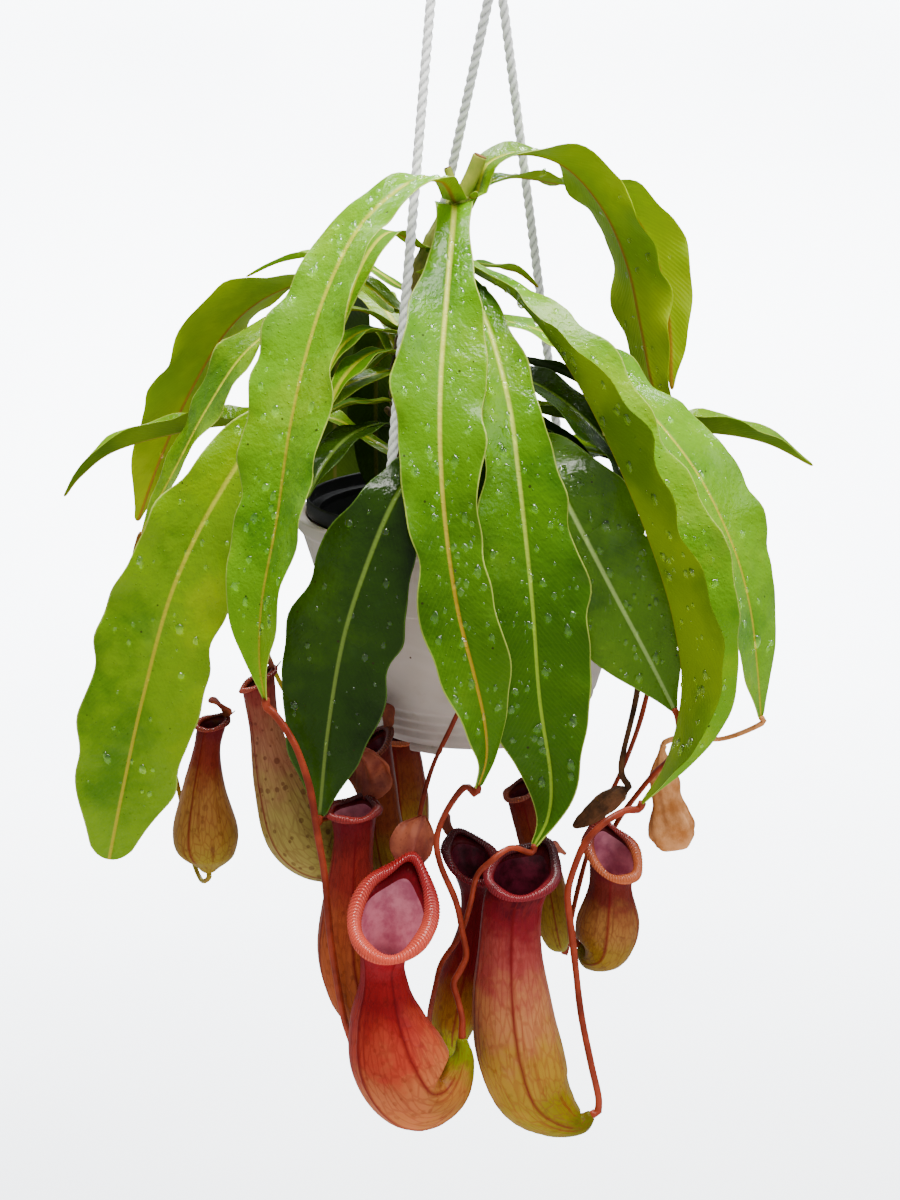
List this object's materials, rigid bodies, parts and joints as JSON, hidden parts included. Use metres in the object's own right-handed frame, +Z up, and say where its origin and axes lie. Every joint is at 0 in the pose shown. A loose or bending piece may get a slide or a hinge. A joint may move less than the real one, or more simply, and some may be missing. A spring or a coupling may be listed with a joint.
{
  "type": "hanging pitcher plant",
  "caption": "Carnivorous plant with long waved leaves and dangling pitchers, growing in a plastic pot that hangs on ropes from a hook.",
  "frame": {"origin": "inner top of the hook's bend, where the plant hangs", "axes": "+Z up, -Y towards the viewer of the front, +X to that viewer's right"},
  "size_m": [0.3784, 0.2621, 0.6228],
  "materials": {
    "leaf": "glossy, waxy",
    "shaded_leaf": "glossy, waxy",
    "stem": "matt bark",
    "tendril": "satin",
    "pitcher": "satin, waxy",
    "dry_pitcher": "dry and papery",
    "outer_pot": "satin",
    "nursery_pot": "matt",
    "growing_medium": "rough, crumbly",
    "rope": "twisted strands",
    "hook": "satin"
  },
  "bodies": {
    "root": {"hook": "hook", "rope_front_left": "rope", "rope_back_right": "rope", "rope_back_left": "rope", "outer_pot": "outer_pot", "nursery_pot": "nursery_pot", "growing_medium": "growing_medium", "main_stem": "stem", "leaf_front_centre": "leaf", "leaf_front_left": "leaf", "leaf_low_left": "leaf", "leaf_dark_left": "shaded_leaf", "leaf_front_right": "leaf", "leaf_dark_right": "shaded_leaf", "leaf_folded_right": "leaf", "leaf_far_right": "leaf", "leaf_arched_right": "leaf", "leaf_arched_back": "leaf", "leaf_small_right": "leaf", "leaf_broad_left": "leaf", "leaf_small_left": "leaf", "leaf_narrow_left": "leaf", "leaf_top_left": "leaf", "leaf_inner_left_1": "leaf", "leaf_inner_left_2": "leaf", "leaf_inner_left_3": "leaf", "leaf_inner_left_4": "shaded_leaf", "leaf_inner_left_5": "leaf", "leaf_inner_right_1": "shaded_leaf", "leaf_inner_right_2": "shaded_leaf", "leaf_inner_right_3": "leaf", "leaf_inner_right_4": "shaded_leaf", "leaf_behind_centre": "shaded_leaf", "leaf_back_1": "leaf", "leaf_back_2": "leaf", "leaf_back_3": "leaf", "leaf_back_4": "leaf", "leaf_back_5": "leaf", "leaf_back_6": "leaf", "tendril_front_left": "tendril", "tendril_centre_left": "tendril", "tendril_centre": "tendril", "tendril_front_right": "tendril", "tendril_right": "tendril", "tendril_behind_right": "tendril", "tendril_behind_left": "tendril", "tendril_behind_pot": "tendril", "tendril_small_left": "tendril", "pitcher_front_left": "pitcher", "pitcher_front_right": "pitcher", "pitcher_centre_left": "pitcher", "pitcher_small_left": "pitcher", "pitcher_large_left": "pitcher", "pitcher_behind_left": "pitcher", "pitcher_behind_pot": "pitcher", "pitcher_centre": "pitcher", "pitcher_right": "pitcher", "pitcher_behind_right": "pitcher", "pitcher_dried": "dry_pitcher", "pitcher_shrivelled": "dry_pitcher"}
  },
  "joints": []
}
